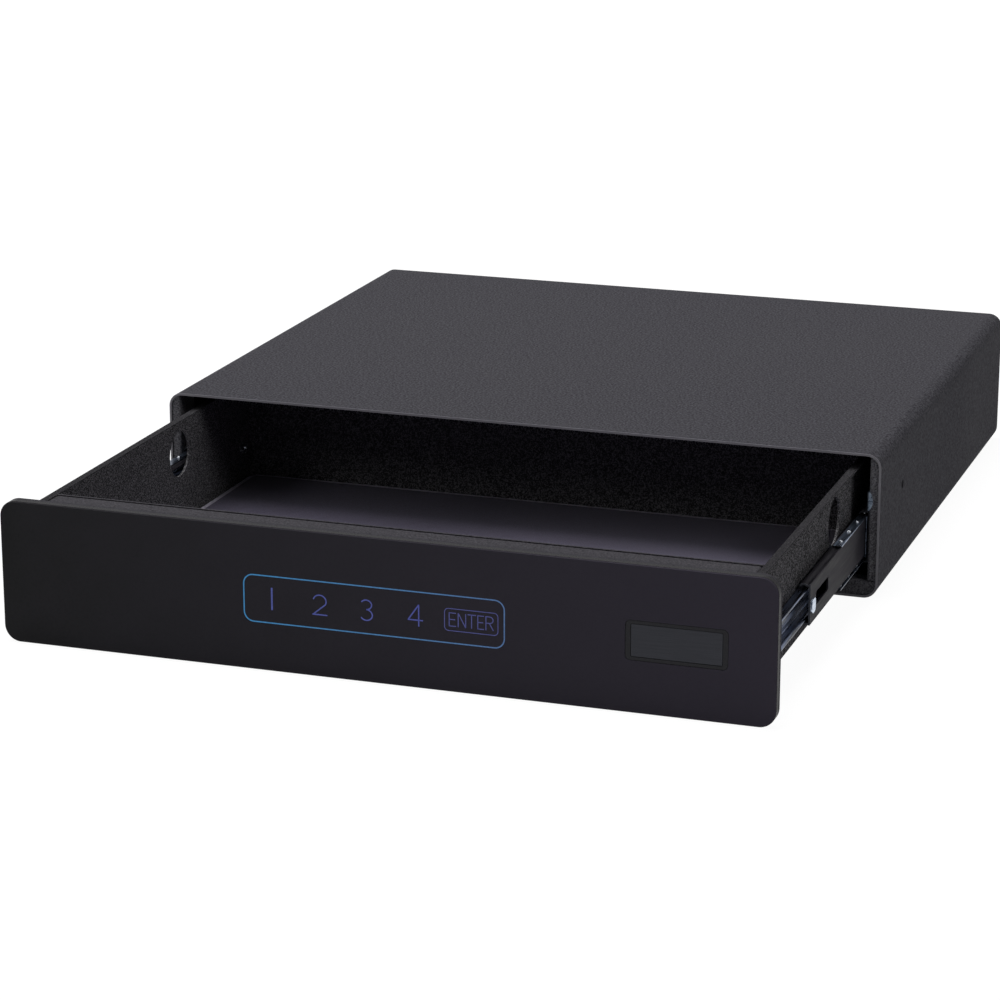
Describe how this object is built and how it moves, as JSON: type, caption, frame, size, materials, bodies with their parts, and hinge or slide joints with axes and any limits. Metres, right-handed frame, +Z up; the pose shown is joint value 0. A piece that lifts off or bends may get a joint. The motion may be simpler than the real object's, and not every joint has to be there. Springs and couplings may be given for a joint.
{
  "type": "under-bed safe",
  "caption": "Low black steel case with a drawer on ball-bearing slides, a touch-glass front with a lit keypad, a key cover and a foam mat, shown partly open.",
  "frame": {"origin": "middle of the case's flat base, on the surface it stands on", "axes": "+Z up, -Y out of the front the way the drawer opens, +X to the right seen from the front"},
  "size_m": [0.5, 0.6765, 0.097],
  "materials": {
    "powder_coat": "fine-textured dark charcoal powder coat",
    "frame_coat": "textured black powder coat",
    "drawer_coat": "coarse-textured black powder coat",
    "cover_coat": "textured charcoal powder coat",
    "touch_glass": "satin black back-painted glass",
    "backing_steel": "black powder coat",
    "cover_plastic": "satin black plastic",
    "black_plastic": "moulded black plastic",
    "circuit_board": "green solder resist",
    "lamp_plastic": "clear blue lamp",
    "cell_jacket": "printed-film jacket, left plain",
    "copper_winding": "enamelled copper wire",
    "brass": "turned",
    "zinc": "zinc-plated",
    "blue_zinc": "blue zinc-plated",
    "black_zinc": "black zinc-plated",
    "bright_steel": "bright zinc-plated",
    "ball_steel": "polished",
    "screw_steel": "zinc-plated",
    "die_cast": "as cast",
    "lock_chrome": "satin chrome",
    "foam": "smooth dark foam"
  },
  "bodies": {
    "case": {"case_shell": "powder_coat", "case_back": "powder_coat", "front_sill": "frame_coat", "side_channel_left": "frame_coat", "side_channel_right": "frame_coat", "slide_outer_left": "black_zinc", "slide_outer_right": "black_zinc", "case_slide_screws": "screw_steel", "case_slide_nuts": "screw_steel", "strike_plate": "bright_steel", "strike_screws": "screw_steel"},
    "drawer": {"drawer_tray": "drawer_coat", "compartment_cover": "cover_coat", "compartment_lid": "cover_coat", "front_glass": "touch_glass", "front_backing": "backing_steel", "backing_screws": "screw_steel", "touch_sensor": "circuit_board", "led_board": "circuit_board", "led_lamps": "lamp_plastic", "control_board": "circuit_board", "control_parts": "black_plastic", "board_standoffs": "brass", "battery_holder": "black_plastic", "batteries": "cell_jacket", "cover_screws": "screw_steel", "lock_bracket": "zinc", "lock_solenoid": "zinc", "solenoid_coil": "copper_winding", "latch_guide": "die_cast", "lock_barrel": "lock_chrome", "lock_nut": "lock_chrome", "foam_mat": "foam", "slide_inner_left": "blue_zinc", "slide_inner_right": "blue_zinc", "drawer_slide_screws": "screw_steel", "drawer_slide_nuts": "screw_steel"},
    "middle_left": {"slide_middle_left": "black_zinc", "slide_stop_left": "bright_steel"},
    "middle_right": {"slide_middle_right": "black_zinc", "slide_stop_right": "bright_steel"},
    "outer_cage_left": {"cage_outer_left": "bright_steel", "balls_outer_left": "ball_steel"},
    "outer_cage_right": {"cage_outer_right": "bright_steel", "balls_outer_right": "ball_steel"},
    "inner_cage_left": {"cage_inner_left": "bright_steel", "balls_inner_left": "ball_steel"},
    "inner_cage_right": {"cage_inner_right": "bright_steel", "balls_inner_right": "ball_steel"},
    "latch": {"latch_bolt": "bright_steel", "bolt_plunger": "bright_steel"},
    "key_core": {"key_plug": "brass", "key_cam": "zinc"},
    "key_cap": {"key_cover": "cover_plastic"},
    "battery_lid": {"battery_door": "cover_plastic"}
  },
  "joints": [
    {"name": "drawer_slide", "type": "slide", "parent": "case", "child": "drawer", "axis": [0, -1, 0], "range_m": [-0.25, 0.1]},
    {"name": "middle_slide_left", "type": "slide", "parent": "case", "child": "middle_left", "axis": [0, -1, 0], "range_m": [-0.15, 0.06]},
    {"name": "outer_cage_slide_left", "type": "slide", "parent": "case", "child": "outer_cage_left", "axis": [0, -1, 0], "range_m": [-0.075, 0.03]},
    {"name": "inner_cage_slide_left", "type": "slide", "parent": "case", "child": "inner_cage_left", "axis": [0, -1, 0], "range_m": [-0.2, 0.08]},
    {"name": "middle_slide_right", "type": "slide", "parent": "case", "child": "middle_right", "axis": [0, -1, 0], "range_m": [-0.15, 0.06]},
    {"name": "outer_cage_slide_right", "type": "slide", "parent": "case", "child": "outer_cage_right", "axis": [0, -1, 0], "range_m": [-0.075, 0.03]},
    {"name": "inner_cage_slide_right", "type": "slide", "parent": "case", "child": "inner_cage_right", "axis": [0, -1, 0], "range_m": [-0.2, 0.08]},
    {"name": "bolt_slide", "type": "slide", "parent": "drawer", "child": "latch", "axis": [1, 0, 0], "range_m": [0, 0.0138]},
    {"name": "key_turn", "type": "hinge", "parent": "drawer", "child": "key_core", "pos_m": [0.1875, -0.4595, 0.0455], "axis": [0, 1, 0], "range_deg": [0, 90]},
    {"name": "key_cover_pull", "type": "slide", "parent": "drawer", "child": "key_cap", "axis": [0, -1, 0], "range_m": [0, 0.02]},
    {"name": "battery_door_slide", "type": "slide", "parent": "drawer", "child": "battery_lid", "axis": [1, 0, 0], "range_m": [0, 0.066]}
  ],
  "couplings": [
    {"joint": "middle_slide_left", "follows": "drawer_slide", "ratio": 0.6},
    {"joint": "outer_cage_slide_left", "follows": "drawer_slide", "ratio": 0.3},
    {"joint": "inner_cage_slide_left", "follows": "drawer_slide", "ratio": 0.8},
    {"joint": "middle_slide_right", "follows": "drawer_slide", "ratio": 0.6},
    {"joint": "outer_cage_slide_right", "follows": "drawer_slide", "ratio": 0.3},
    {"joint": "inner_cage_slide_right", "follows": "drawer_slide", "ratio": 0.8}
  ]
}
